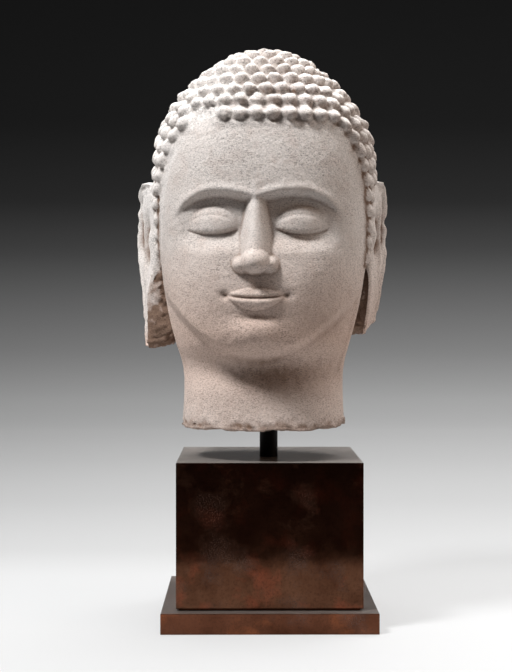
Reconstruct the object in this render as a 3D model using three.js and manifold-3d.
// A carved stone head of the Buddha on a round steel rod and a two-step metal plinth.
// Millimetres, +Z up, the face looks along -Y, the origin is the centre of the plinth's underside.
// The head is one block of sandstone with its ears, its snail-shell curls and the rough cut at the neck.
import * as THREE from "three";
import { ConvexHull } from "three/addons/math/ConvexHull.js";
import { mergeVertices } from "three/addons/utils/BufferGeometryUtils.js";
import Module from "manifold-3d";

const wasm = await Module();
wasm.setup();

// ---------- driving dimensions ----------

const PLATE = { width: 220, depth: 220, height: 21, edge: 0.4 };
const BLOCK = { width: 190, depth: 190, height: 150, edge: 0.4, revealHeight: 2, revealDepth: 2.6 };
const ROD = { radius: 9.5, y: -20, showing: 31, inBlock: 60, inHead: 110, sides: 32 };
const CLEARANCE = 0.3;

// The head stands on the rod, turned a little to its own right, its axis just left of the rod's.
const HEAD = { turn: -5, axisX: -6, squareness: 2.25 };

// The bust from the neck cut to the crown: height, half width, reach to the front, reach to the back.
const STATIONS = [
  [0, 87, 73, 86],
  [26, 85, 69, 83],
  [52, 84.5, 68, 82],
  [70, 86.5, 76, 84],
  [90, 92, 92, 88],
  [116, 99, 97, 97],
  [150, 106, 98, 113],
  [190, 111, 98, 130],
  [230, 113.5, 99, 141],
  [268, 114, 98, 145],
  [300, 110, 94, 140],
  [326, 99, 85, 128],
  [349, 82, 69, 111],
  [368, 62, 48, 91],
  [383, 42, 26, 69],
  [391.5, 21, 4, 46],
  [394, 0, -20, 22],
];

// The face by thirds: hairline, brow, base of the nose, chin. Five eye widths make its breadth.
const FACE = { hairline: 314, chin: 84, eyeWidth: 44, edge: 82, fadeBelow: 36, fullAbove: 70 };
const THIRD = (FACE.hairline - FACE.chin) / 3;
const BROW_Z = FACE.chin + 2 * THIRD;
const NOSE_BASE_Z = FACE.chin + THIRD;
const EYE = { x: FACE.eyeWidth, z: BROW_Z - 0.38 * THIRD };
const MOUTH = {
  z: NOSE_BASE_Z - THIRD / 3,
  halfWidth: 0.7 * FACE.eyeWidth,
  cornerRise: 3,
  upper: 11,
  lower: 12,
};

// Hair: level across the brow, falling over the temples to a lock before each ear, low at the nape.
const HAIR = {
  rise: 2,
  templeStart: { right: 33, left: 42 },
  templeEnd: 75,
  sideZ: 178,
  overEarZ: 258,
  earFront: 84,
  earBack: 104,
  napeZ: 136,
  rowsAlongFace: 3,
};
// The curls stand lower towards the lock: full height above wearTop, worn height below wearBottom.
const CURL = {
  pitch: 16.4,
  rowPitch: 16.4,
  height: 8.5,
  wornHeight: 5,
  wearTop: 330,
  wearBottom: 235,
  wearBack: 60,
  wearFront: 20,
};
const WORN_CURL = { off: -31, z: FACE.hairline + 5, reach: 11 };

// Chips out of the broken edge of the neck: place in degrees from the face, width and rise.
const NECK_CHIPS = [
  { at: 84, width: 13, rise: 10 },
  { at: 52, width: 10, rise: 3 },
  { at: 14, width: 9, rise: 2 },
  { at: -30, width: 14, rise: 2.5 },
  { at: -78, width: 12, rise: 3 },
  { at: 128, width: 20, rise: 4 },
  { at: -140, width: 24, rise: 3 },
];

// The right and the left ear: height, front and back edge along the head, how far out each edge stands.
const EARS = {
  right: [
    [262, 20, 36, 123, 134],
    [254, 5, 51, 120, 140],
    [236, -3, 58, 118, 143],
    [206, -1, 57, 117, 143],
    [176, 3, 50, 119, 140],
    [142, 6, 42, 125, 134],
    [112, 6, 39, 126, 132],
    [92, 8, 36, 125, 130],
    [83, 13, 30, 125, 129],
  ],
  left: [
    [262, 22, 40, 117, 126],
    [255, 5, 51, 116, 129],
    [238, -3, 58, 115, 131],
    [211, -1, 57, 115, 131],
    [183, 3, 50, 114, 130],
    [152, 6, 42, 115, 125],
    [125, 6, 39, 113, 121],
    [106, 8, 36, 110, 118],
    [98, 13, 30, 109, 116],
  ],
};
const EAR_CUTS = { columns: 9, rows: 20, lobeThickness: 3.5, rootThickness: 20.5 };
const LOBE_SLANT = { right: 2, left: 12 };

// The uncut stone behind each lobe: its front edge above and below, and how its lower end rises inwards.
const WEBS = {
  right: { frontTop: 5, frontBottom: 4, riseInward: 13 },
  left: { frontTop: 10, frontBottom: 8, riseInward: -3 },
};
const WEB = { top: 190, bottomGap: 1, inner: 60, innerBack: 62, outerBack: 42, parts: 8 };

// The middle of the head, from which the skin's points are joined.
const HEAD_CENTRE = new THREE.Vector3(0, 15, 190);

// ---------- the bust's smooth form ----------

const radians = THREE.MathUtils.degToRad;
const clamp = THREE.MathUtils.clamp;
const smoothStep = (from, to, v) => {
  const t = clamp((v - from) / (to - from), 0, 1);
  return t * t * (3 - 2 * t);
};

// A smooth curve through rows of numbers, at any place between them.
function throughRows(rows, place) {
  const i = clamp(Math.floor(place), 0, rows.length - 2);
  const t = place - i;
  const before = rows[Math.max(i - 1, 0)];
  const after = rows[Math.min(i + 2, rows.length - 1)];
  return rows[i].map((p1, k) => {
    const p2 = rows[i + 1][k];
    const slope1 = (p2 - before[k]) / 2;
    const slope2 = (after[k] - p1) / 2;
    const blend = 3 * t * t - 2 * t * t * t;
    return (
      p1 + (p2 - p1) * blend + slope1 * t * (1 - t) ** 2 - slope2 * t * t * (1 - t)
    );
  });
}

// Length up the side of the bust, so that rows of curls can be spaced evenly.
const STEPS_PER_STATION = 12;
const climb = [{ place: 0, length: 0 }];
for (let i = 1; i <= (STATIONS.length - 1) * STEPS_PER_STATION; i++) {
  const place = i / STEPS_PER_STATION;
  const [z0, w0] = throughRows(STATIONS, (i - 1) / STEPS_PER_STATION);
  const [z1, w1] = throughRows(STATIONS, place);
  climb.push({ place, length: climb.at(-1).length + Math.hypot(z1 - z0, w1 - w0) });
}
const CROWN = climb.at(-1).length;

function stationAtLength(length) {
  const after = climb.findIndex((c) => c.length >= length);
  if (after < 1) return STATIONS[0];
  const [a, b] = [climb[after - 1], climb[after]];
  return throughRows(
    STATIONS,
    a.place + ((b.place - a.place) * (length - a.length)) / (b.length - a.length),
  );
}

function lengthAtHeight(z) {
  let low = 0;
  let high = CROWN;
  for (let i = 0; i < 40; i++) {
    const middle = (low + high) / 2;
    if (stationAtLength(middle)[0] < z) low = middle;
    else high = middle;
  }
  return low;
}

// A point of the plain bust. The angle is 0 at the face and grows towards +X.
function bust(angle, length) {
  const [z, halfWidth, front, back] = stationAtLength(length);
  const halfDepth = Math.max((front + back) / 2, 0.01);
  const n = HEAD.squareness;
  const s = Math.sin(angle);
  const c = Math.cos(angle);
  const r =
    (Math.abs(s / Math.max(halfWidth, 0.01)) ** n + Math.abs(c / halfDepth) ** n) ** (-1 / n);
  return new THREE.Vector3(r * s, (back - front) / 2 - r * c, z);
}

function outward(angle, length) {
  const step = 0.5;
  const here = bust(angle, length);
  const round = bust(angle + 0.01, length).sub(here);
  const up = here.clone().sub(bust(angle, length - step));
  return round.cross(up).normalize();
}

// ---------- the face, carved straight back from the front ----------

// The front of an egg-shaped lump. Outside its own oval it is nowhere.
const lump = (x, z, cx, cz, rx, rz, seat, rise) => {
  const q = ((x - cx) / rx) ** 2 + ((z - cz) / rz) ** 2;
  return q < 1 ? seat + rise * Math.sqrt(1 - q) : -Infinity;
};
const soft = (x, z, cx, cz, rx, rz) =>
  Math.exp(-(((x - cx) / rx) ** 2) - ((z - cz) / rz) ** 2);
const smoothMax = (a, b, k) => {
  const h = Math.max(k - Math.abs(a - b), 0) / k;
  return Math.max(a, b) + (h * h * k) / 4;
};

// The brows spring from the nose, arch over the eyes and fall to the temples.
function browHeight(side) {
  const off = (side - EYE.x) / EYE.x;
  return BROW_Z + 7 - (off < 0 ? 8 : 22) * off * off;
}

// The line in which the closed lids meet.
function slitHeight(side) {
  const across = (side - EYE.x - 2) / (FACE.eyeWidth / 2 + 3);
  return EYE.z - 8 + 4 * across * across;
}

const jawHeight = (side) => FACE.chin - 4 + 62 * (side / 100) ** 2;

function carveFace(x, z, plain) {
  const side = Math.abs(x);
  let d = plain;

  // full cheeks, the rounded muzzle, the ball of the chin and the fold under the jaw
  d += 5 * soft(side, z, 52, 158, 32, 34);
  d += 4 * soft(side, z, 0, MOUTH.z, 40, 24);
  d += 9 * soft(side, z, 0, FACE.chin + 15, 25, 17);
  d -= 4 * soft(side, z, 0, FACE.chin + 33, 22, 6);
  d -= 12 * smoothStep(jawHeight(side) + 3, jawHeight(side) - 10, z);

  // the eye socket, cut in crisply under the arch of the brow
  const brow = browHeight(side);
  const depth = 12 - 7 * smoothStep(50, 84, side);
  const socket = smoothStep(brow, brow - 9, z) * smoothStep(EYE.z - 30, EYE.z - 4, z);
  d -= depth * socket * smoothStep(90, 72, side);
  d += 1.5 * Math.exp(-(((z - brow - 2) / 4) ** 2)) * smoothStep(88, 70, side);

  // the closed lid, and the lower lid a step behind it
  const slit = slitHeight(side);
  const lowered = 3.5 * smoothStep(slit + 1, slit - 1, z);
  d = smoothMax(d, lump(side, z, EYE.x + 2, EYE.z, 27, 20, plain - 16 - lowered, 14), 5);

  // the nose: a straight ridge from the brow, the ball of the tip and the two wings
  const down = clamp((BROW_Z - z) / THIRD, 0, 1);
  const broad = 13 + 7 * down;
  const ridge = 99 + 23 * down ** 1.1 - 24 * (side / broad) ** 2;
  const underNose = smoothStep(NOSE_BASE_Z - 1, NOSE_BASE_Z + 7, z);
  if (z > NOSE_BASE_Z - 12 && z < BROW_Z + 14) d = smoothMax(d, ridge - 60 * (1 - underNose), 4);
  d = smoothMax(d, lump(side, z, 0, NOSE_BASE_Z + 11, 15, 13, 101, 23), 7);
  d = smoothMax(d, lump(side, z, 14, NOSE_BASE_Z + 8, 10.5, 10, 91, 19), 5);

  // the lips part in a line that rises to a small pit at each corner
  const along = side / MOUTH.halfWidth;
  const meetZ = MOUTH.z + MOUTH.cornerRise * along * along;
  const upper = MOUTH.upper * Math.max(1 - along ** 1.8, 0) - 2 * Math.exp(-((side / 4) ** 2));
  const lower = MOUTH.lower * Math.max(1 - along ** 2, 0);
  const over = (z - meetZ) / Math.max(upper, 0.1);
  const under = (meetZ - z) / Math.max(lower, 0.1);
  const full = 1 - Math.min(along, 1) ** 4;
  if (over >= 0 && over < 1) d += 6 * Math.sqrt(1 - over) * full;
  if (under > 0 && under < 1) d += 6.5 * Math.sqrt(1 - under * under) * full;
  d -= 4 * Math.exp(-(((z - meetZ) / 1.8) ** 2)) * smoothStep(1.1, 0.8, along);
  d -= 3.5 * soft(side, z, MOUTH.halfWidth + 1, MOUTH.z + MOUTH.cornerRise, 4.5, 4.5);
  return d;
}

// ---------- the hair ----------

const degreesFromFace = (angle) => Math.abs(THREE.MathUtils.radToDeg(angle));

// The hairline runs straight over the brow, then falls as a quarter of an oval to the lock before the ear.
function hairlineCurve(start) {
  const curve = [];
  for (let off = 0; off < start; off += 2) curve.push([off, FACE.hairline]);
  for (let turn = 0; turn <= 90; turn += 3) {
    const across = Math.sin(radians(turn)) ** 1.25;
    const kept = Math.cos(radians(turn)) ** 1.54;
    const off = start + (HAIR.templeEnd - start) * across;
    curve.push([off, HAIR.sideZ + (FACE.hairline - HAIR.sideZ) * kept]);
  }
  return curve.map(([off, z]) => ({ angle: radians(off), length: lengthAtHeight(z) }));
}

function hairlineHeight(angle) {
  const off = degreesFromFace(angle);
  if (off >= HAIR.earBack) return HAIR.napeZ;
  if (off >= HAIR.templeEnd) return HAIR.overEarZ;
  const start = angle > 0 ? HAIR.templeStart.left : HAIR.templeStart.right;
  const along = clamp((off - start) / (HAIR.templeEnd - start), 0, 1);
  return HAIR.sideZ + (FACE.hairline - HAIR.sideZ) * (1 - along ** 1.6) ** 0.77;
}

// The spot on the bust nearest to a point, starting from a spot close by.
function nearestSpot({ angle, length }, target) {
  let spot = { angle, length };
  for (let i = 0; i < 8; i++) {
    const here = bust(spot.angle, spot.length);
    const miss = target.clone().sub(here);
    const round = bust(spot.angle + 0.01, spot.length).sub(here).divideScalar(0.01);
    const up = bust(spot.angle, Math.min(spot.length + 0.5, CROWN)).sub(here).divideScalar(0.5);
    spot = {
      angle: spot.angle + miss.dot(round) / Math.max(round.lengthSq(), 1),
      length: clamp(spot.length + miss.dot(up) / Math.max(up.lengthSq(), 0.1), 0, CROWN - 1),
    };
  }
  return spot;
}

// A row of curls that keeps one distance from a hairline, on the statue's left side of the middle.
function rowAlongHairline(row, start) {
  const inward = (row + 0.5) * CURL.rowPitch;
  const curve = hairlineCurve(start);
  const spots = curve.map((spot, i) => {
    const [before, after] = [curve[Math.max(i - 1, 0)], curve[Math.min(i + 1, curve.length - 1)]];
    const along = bust(after.angle, after.length).sub(bust(before.angle, before.length));
    const away = outward(spot.angle, spot.length).cross(along).normalize();
    const target = bust(spot.angle, spot.length).addScaledVector(away, inward);
    return nearestSpot({ angle: spot.angle, length: spot.length + inward / 2 }, target);
  });
  const placed = [];
  let run = 0;
  let next = row === 2 ? CURL.pitch / 2 : 0;
  for (let i = 1; i < spots.length; i++) {
    const [a, b] = [spots[i - 1], spots[i]];
    const step = bust(a.angle, a.length).distanceTo(bust(b.angle, b.length));
    for (; next <= run + step; next += CURL.pitch) {
      const t = (next - run) / step;
      placed.push({
        angle: a.angle + (b.angle - a.angle) * t,
        length: a.length + (b.length - a.length) * t,
      });
    }
    run += step;
  }
  return placed;
}

// A level row of curls all the way round, staggered against the rows above and below it.
function levelRow(row, length) {
  const lap = [];
  for (let off = 0; off <= 360; off += 2) lap.push(bust(radians(off), length));
  const runs = [0];
  for (let i = 1; i < lap.length; i++) runs.push(runs[i - 1] + lap[i].distanceTo(lap[i - 1]));
  const count = Math.max(Math.round(runs.at(-1) / CURL.pitch), 1);
  const placed = [];
  for (let i = 0; i < count; i++) {
    const run = (((i + (row % 2) / 2) % count) / count) * runs.at(-1);
    const after = Math.max(runs.findIndex((r) => r >= run), 1);
    const t = (run - runs[after - 1]) / (runs[after] - runs[after - 1]);
    const off = 2 * (after - 1 + t);
    placed.push({ angle: radians(off > 180 ? off - 360 : off), length });
  }
  return placed;
}

const spotHeight = (spot) => stationAtLength(spot.length)[0];
const distance = (a, b) => bust(a.angle, a.length).distanceTo(bust(b.angle, b.length));

// Curls that the ear covers, or that have worn away at the edge of the brow.
function isMissing(spot) {
  const off = degreesFromFace(spot.angle);
  const z = spotHeight(spot);
  const underEar = off > HAIR.earFront && off < HAIR.earBack && z < HAIR.overEarZ;
  const [wornAngle, wornLength] = [radians(WORN_CURL.off), lengthAtHeight(WORN_CURL.z)];
  return underEar || distance(spot, { angle: wornAngle, length: wornLength }) < WORN_CURL.reach;
}

// Odd curls where two kinds of row leave room for one more.
function fillGaps(curls, front) {
  for (let length = front; length < CROWN - CURL.pitch; length += CURL.rowPitch / 4) {
    for (let off = -180; off < 180; off += 3) {
      const spot = { angle: radians(off), length };
      if (curls.every((other) => distance(spot, other) > 0.88 * CURL.pitch)) curls.push(spot);
    }
  }
}

function allCurls() {
  const curls = [];
  for (let row = 0; row < HAIR.rowsAlongFace; row++) {
    curls.push(...rowAlongHairline(row, HAIR.templeStart.left));
    for (const spot of rowAlongHairline(row, HAIR.templeStart.right)) {
      if (spot.angle > 0.001) curls.push({ angle: -spot.angle, length: spot.length });
    }
  }
  const alongFace = [...curls];
  const front = lengthAtHeight(FACE.hairline) + CURL.rowPitch / 2;
  const rowsBelow = Math.floor((front - lengthAtHeight(HAIR.napeZ)) / CURL.rowPitch);
  const rowsAbove = Math.floor((CROWN - CURL.rowPitch / 2 - front) / CURL.rowPitch);
  for (let row = -rowsBelow; row <= rowsAbove; row++) {
    for (const spot of levelRow(row + 2 * rowsBelow + 1, front + row * CURL.rowPitch)) {
      const inHair = spotHeight(spot) > hairlineHeight(spot.angle) + 4;
      const clear = alongFace.every((other) => distance(spot, other) > 0.84 * CURL.pitch);
      if (inHair && clear) curls.push(spot);
    }
  }
  curls.push({ angle: 0, length: CROWN });
  fillGaps(curls, front);
  return curls.filter((spot) => !isMissing(spot));
}

// ---------- the skin of the head, as scattered points joined by the hull of their directions ----------

// Each point has its home on the plain bust, which decides its neighbours, and its place on the carved stone.
const skin = [];

// The broken edge of the neck rises where a chip is out of it.
const chipRise = (angle) =>
  NECK_CHIPS.reduce((sum, chip) => {
    const away = (THREE.MathUtils.radToDeg(angle) - chip.at) / chip.width;
    return sum + chip.rise * Math.exp(-(away ** 2));
  }, 0);

function addBare(angle, length) {
  const home = bust(angle, length);
  const place = home.clone();
  const off = degreesFromFace(angle);
  if (off < FACE.edge) {
    const sideFade = smoothStep(FACE.edge, FACE.edge - 15, off);
    const fade = sideFade * smoothStep(FACE.fadeBelow, FACE.fullAbove, home.z);
    place.y -= (carveFace(place.x, place.z, -place.y) + place.y) * fade;
  }
  place.z += chipRise(angle) * smoothStep(30, 0, place.z);
  skin.push({ home, place, curl: false });
}

// A point of the face by its distance from the middle line and its height.
function addFacePoint(x, z) {
  const length = lengthAtHeight(z);
  let angle = 0;
  for (let i = 0; i < 12; i++) angle += (x - bust(angle, length).x) / 110;
  addBare(angle, length);
}

// Points where the face turns sharply, on one side: brows, lids, nose and lips.
function featureLines() {
  const lines = [];
  for (let x = 6; x <= 84; x += 6) lines.push([x, browHeight(x) + 1], [x, browHeight(x) - 9]);
  for (let x = EYE.x - 18; x <= EYE.x + 24; x += 6) {
    const slit = slitHeight(x);
    lines.push([x, slit + 1.5], [x, slit - 2], [x, slit + 9]);
  }
  for (let level = 1; level <= 6; level++) {
    const z = NOSE_BASE_Z + 15 + 10 * level;
    lines.push([0, z], [5, z], [13 - level / 2, z]);
  }
  for (const x of [0, 6, 12, 18, 24]) {
    for (const above of [-2, 5, 11, 18]) lines.push([x, NOSE_BASE_Z + above]);
  }
  for (let x = 0; x <= MOUTH.halfWidth + 2; x += MOUTH.halfWidth / 6) {
    const along = Math.min(x / MOUTH.halfWidth, 1);
    const meetZ = MOUTH.z + MOUTH.cornerRise * along * along;
    const [upper, lower] = [MOUTH.upper * (1 - along ** 1.8), MOUTH.lower * (1 - along ** 2)];
    lines.push([x, meetZ]);
    if (along > 0.9) continue;
    lines.push([x, meetZ + 2.5], [x, meetZ + upper + 1], [x, meetZ - 3.5], [x, meetZ - lower - 1]);
  }
  return lines;
}

function isBare(angle, z) {
  const off = degreesFromFace(angle);
  const underEar = off > HAIR.earFront && off < HAIR.earBack && z < HAIR.overEarZ - 6;
  return underEar || z < hairlineHeight(angle) - 2;
}

// Stone without hair: wide rings round the neck and the back, and a close grid over the face.
function addBareStone() {
  const ringPitch = 14;
  for (let z = 0; z <= FACE.hairline - 90; z += ringPitch) {
    const staggered = (z / ringPitch) % 2;
    for (let off = staggered ? -174 : -180; off < 180; off += 12) {
      const angle = radians(off);
      const besideFace = Math.abs(off) > FACE.edge - 8 || z < FACE.fullAbove;
      if (besideFace && isBare(angle, z)) addBare(angle, lengthAtHeight(z));
    }
  }
  const lines = featureLines();
  const gridPitch = 8;
  for (let z = FACE.fullAbove + 10; z < FACE.hairline; z += gridPitch) {
    const staggered = ((z - FACE.fullAbove - 10) / gridPitch) % 2;
    for (let x = staggered ? -104 : -100; x <= 104; x += gridPitch) {
      const angle = Math.asin(clamp(x / 112, -1, 1));
      const drawn = lines.some(([fx, fz]) => Math.hypot(fx - Math.abs(x), fz - z) < 4.5);
      if (degreesFromFace(angle) < FACE.edge - 6 && isBare(angle, z + 3) && !drawn) addFacePoint(x, z);
    }
  }
  for (const [x, z] of lines) {
    addFacePoint(x, z);
    if (x > 0.5) addFacePoint(-x, z);
  }
}

// The rough underside of the neck, ring by ring towards the rod.
function addUnderside() {
  const rings = [
    { share: 0.75, count: 24 },
    { share: 0.45, count: 14 },
    { share: 0.12, count: 6 },
  ];
  for (const { share, count } of rings) {
    for (let i = 0; i < count; i++) {
      const angle = ((i + share) / count) * 2 * Math.PI - Math.PI;
      const home = bust(angle, 0).multiplyScalar(share);
      const rough = 2.5 * Math.sin(5 * angle + 9 * share) + chipRise(angle) * share;
      const place = home.clone().setZ(1 + Math.max(rough, 0));
      skin.push({ home, place, curl: false });
    }
  }
}

function addCurlPeaks() {
  for (const { angle, length } of allCurls()) {
    const home = bust(angle, length);
    const low = smoothStep(CURL.wearTop, CURL.wearBottom, home.z);
    const inLock = low * smoothStep(CURL.wearBack, CURL.wearFront, home.y);
    const height = CURL.height + (CURL.wornHeight - CURL.height) * inLock;
    const place = home.clone().addScaledVector(outward(angle, length), HAIR.rise + height);
    skin.push({ home, place, curl: true });
  }
}

// Triangles between the points: the hull of their directions from the middle of the head.
function joinSkin() {
  const directions = skin.map(({ home }, i) => {
    const jitter = new THREE.Vector3(Math.sin(i * 1.7), Math.sin(i * 2.3), Math.sin(i * 2.9));
    return home.clone().sub(HEAD_CENTRE).addScaledVector(jitter, 1e-3).normalize();
  });
  const indexOf = new Map(directions.map((d, i) => [d, i]));
  const hull = new ConvexHull().setFromPoints(directions);
  return hull.faces.map((face) => [0, 1, 2].map((k) => indexOf.get(face.getEdge(k).head().point)));
}

// A hollow in the middle of every triangle that touches a curl, so that each curl stands alone.
function addHollows() {
  for (const corners of joinSkin()) {
    const points = corners.map((i) => skin[i]);
    if (!points.some((p) => p.curl)) continue;
    const home = new THREE.Vector3();
    points.forEach((p) => home.addScaledVector(p.home, 1 / 3));
    const away = home.clone().sub(HEAD_CENTRE).normalize();
    const lift = points.every((p) => p.curl) ? HAIR.rise : 0.5;
    skin.push({ home, place: home.clone().addScaledVector(away, lift), curl: false });
  }
}

addBareStone();
addUnderside();
addCurlPeaks();
addHollows();

// ---------- solids ----------

// A closed geometry as a manifold-3d solid.
function solidFrom(geometry) {
  const bare = new THREE.BufferGeometry();
  const plain = geometry.index ? geometry.toNonIndexed() : geometry;
  bare.setAttribute("position", plain.getAttribute("position"));
  const merged = mergeVertices(bare, 1e-4);
  return new wasm.Manifold(
    new wasm.Mesh({
      numProp: 3,
      vertProperties: new Float32Array(merged.attributes.position.array),
      triVerts: new Uint32Array(merged.index.array),
    }),
  );
}

function geometryFrom(solid) {
  const mesh = solid.getMesh();
  const geometry = new THREE.BufferGeometry();
  const flat = [];
  for (let i = 0; i < mesh.numVert; i++) {
    flat.push(...mesh.vertProperties.subarray(i * mesh.numProp, i * mesh.numProp + 3));
  }
  geometry.setAttribute("position", new THREE.Float32BufferAttribute(flat, 3));
  geometry.setIndex([...mesh.triVerts]);
  geometry.computeVertexNormals();
  return geometry;
}

function skinSolid() {
  const geometry = new THREE.BufferGeometry();
  const flat = skin.flatMap(({ place }) => [place.x + HEAD.axisX, place.y, place.z]);
  geometry.setAttribute("position", new THREE.Float32BufferAttribute(flat, 3));
  geometry.setIndex(joinSkin().flat());
  return solidFrom(geometry);
}

function rodShape(radius, from, to) {
  const shape = new THREE.CylinderGeometry(radius, radius, to - from, ROD.sides);
  shape.rotateX(Math.PI / 2);
  shape.translate(0, 0, (from + to) / 2);
  return shape;
}

// A cube cut into parts along x, y and z, each of its points moved by a function of shares from 0 to 1.
function bentBox([partsX, partsY, partsZ], place) {
  const shape = new THREE.BoxGeometry(1, 1, 1, partsX, partsY, partsZ);
  const at = shape.getAttribute("position");
  for (let i = 0; i < at.count; i++) {
    const [x, y, z] = place(at.getX(i) + 0.5, at.getY(i) + 0.5, at.getZ(i) + 0.5);
    at.setXYZ(i, x + HEAD.axisX, y, z);
  }
  return shape;
}

// A box bent for the head's left side and used on its right is a mirror image: its faces are turned round.
function mirrored(shape) {
  const flipped = shape.toNonIndexed();
  const at = flipped.getAttribute("position");
  const corner = new THREE.Vector3();
  for (let i = 0; i < at.count; i += 3) {
    corner.fromBufferAttribute(at, i);
    at.setXYZ(i, at.getX(i + 1), at.getY(i + 1), at.getZ(i + 1));
    at.setXYZ(i + 1, corner.x, corner.y, corner.z);
  }
  return flipped;
}

// ---------- ears ----------

// The relief of an ear's outer face: across runs from the front edge to the rim, down from top to lobe.
function earRelief(across, down) {
  const beside = (centre, width) => Math.exp(-(((across - centre) / width) ** 2));
  const helix = Math.max(smoothStep(0.86, 0.95, across), smoothStep(0.1, 0.03, down));
  const groove = beside(0.79, 0.09) * smoothStep(0.14, 0.26, down) * smoothStep(0.52, 0.42, down);
  const hollow = beside(0.47, 0.15) * Math.exp(-(Math.abs((down - 0.41) / 0.1) ** 3));
  const ridge = beside(0.67, 0.06) * smoothStep(0.15, 0.25, down) * smoothStep(0.62, 0.5, down);
  const tragus = beside(0.2, 0.1) * Math.exp(-(((down - 0.41) / 0.05) ** 2));
  const lobeDip = beside(0.45, 0.25) * smoothStep(0.6, 0.75, down);
  return 3 * helix + 2 * ridge + 3 * tragus - 7 * groove - 9 * hollow - 1.5 * lobeDip;
}

function earSolid(side, rows, slant) {
  const { columns, rows: levels, lobeThickness, rootThickness } = EAR_CUTS;
  const shape = bentBox([1, columns, levels], (outerShare, across, up) => {
    const down = 1 - up;
    const [z, yFront, yBack, xFront, xBack] = throughRows(rows, down * (rows.length - 1));
    const root = lobeThickness + (rootThickness - lobeThickness) * smoothStep(0.6, 0.42, down);
    const relief = earRelief(across, down);
    const out = xFront + (xBack - xFront) * across - root + (relief + root) * outerShare;
    const slanted = z + slant * across * smoothStep(0.75, 1, down);
    return [side * out, yFront + (yBack - yFront) * across, slanted];
  });
  return solidFrom(side < 0 ? mirrored(shape) : shape);
}

// How far out the front edge of an ear stands at a height.
function earFront(rows, z) {
  const below = Math.max(rows.findIndex((row) => z >= row[0]), 1);
  const [above, under] = [rows[below - 1], rows[below]];
  const t = clamp((z - under[0]) / (above[0] - under[0]), 0, 1);
  return under[3] + (above[3] - under[3]) * t;
}

function webSolid(side, rows, web) {
  const shape = bentBox([WEB.parts, 1, WEB.parts], (out, back, up) => {
    const low = rows.at(-1)[0] + WEB.bottomGap + web.riseInward * smoothStep(0.8, 0.4, out);
    const z = low + (WEB.top - low) * up;
    const front = web.frontBottom + (web.frontTop - web.frontBottom) * smoothStep(0.05, 0.6, up);
    const behind = WEB.innerBack + (WEB.outerBack - WEB.innerBack) * out;
    const x = WEB.inner + (earFront(rows, z) - 1 - WEB.inner) * out;
    return [side * x, front + (behind - front) * back, z];
  });
  return solidFrom(side < 0 ? mirrored(shape) : shape);
}

// ---------- the object ----------

const stone = new THREE.MeshStandardMaterial({ color: 0xb3a69a, roughness: 0.95, metalness: 0 });
const blackSteel = new THREE.MeshStandardMaterial({ color: 0x0b0b0c, roughness: 0.4, metalness: 0.6 });
const bronze = new THREE.MeshStandardMaterial({ color: 0x2a120c, roughness: 0.3, metalness: 0.7 });

const plinthTop = PLATE.height + BLOCK.height;
const neckCut = plinthTop + ROD.showing;

function bevelledBox(width, depth, height, edge) {
  const [w, d] = [width / 2 - edge, depth / 2 - edge];
  const plan = new THREE.Shape([
    new THREE.Vector2(-w, -d),
    new THREE.Vector2(w, -d),
    new THREE.Vector2(w, d),
    new THREE.Vector2(-w, d),
  ]);
  return new THREE.ExtrudeGeometry(plan, {
    depth: height - 2 * edge,
    bevelThickness: edge,
    bevelSize: edge,
    bevelSegments: 1,
  }).translate(0, 0, edge);
}

function plinthPlate() {
  const plate = new THREE.Mesh(bevelledBox(PLATE.width, PLATE.depth, PLATE.height, PLATE.edge), bronze);
  plate.name = "plinth_plate";
  return plate;
}

// The block stands on a slightly smaller foot, which leaves a dark line, and is drilled for the rod.
function plinthBlock() {
  const body = bevelledBox(BLOCK.width, BLOCK.depth, BLOCK.height - BLOCK.revealHeight, BLOCK.edge);
  body.translate(0, 0, BLOCK.revealHeight);
  const footWidth = BLOCK.width - 2 * (BLOCK.revealDepth + BLOCK.edge);
  const footDepth = BLOCK.depth - 2 * (BLOCK.revealDepth + BLOCK.edge);
  const foot = new THREE.BoxGeometry(footWidth, footDepth, 2 * BLOCK.revealHeight);
  foot.translate(0, 0, BLOCK.revealHeight);
  const hole = rodShape(ROD.radius + CLEARANCE, BLOCK.height - ROD.inBlock, BLOCK.height + 5);
  hole.translate(0, ROD.y, 0);
  const solid = solidFrom(body).add(solidFrom(foot)).subtract(solidFrom(hole));
  const block = new THREE.Mesh(geometryFrom(solid), bronze);
  block.name = "plinth_block";
  block.position.z = PLATE.height;
  return block;
}

function mountRod() {
  const shape = rodShape(ROD.radius, plinthTop - ROD.inBlock, neckCut + ROD.inHead - CLEARANCE);
  const rod = new THREE.Mesh(shape, blackSteel);
  rod.name = "mount_rod";
  rod.position.y = ROD.y;
  return rod;
}

// The skin, the ears and the webs behind the lobes are one stone, drilled from below for the rod.
function buddhaHead() {
  const solid = skinSolid()
    .add(earSolid(-1, EARS.right, LOBE_SLANT.right))
    .add(webSolid(-1, EARS.right, WEBS.right))
    .add(earSolid(1, EARS.left, LOBE_SLANT.left))
    .add(webSolid(1, EARS.left, WEBS.left))
    .subtract(solidFrom(rodShape(ROD.radius + CLEARANCE, -10, ROD.inHead)));
  const head = new THREE.Mesh(geometryFrom(solid), stone);
  head.name = "buddha_head";
  head.position.set(0, ROD.y, neckCut);
  head.rotation.z = radians(HEAD.turn);
  return head;
}

const statue = new THREE.Group();
statue.add(plinthPlate(), plinthBlock(), mountRod(), buddhaHead());

export default statue;
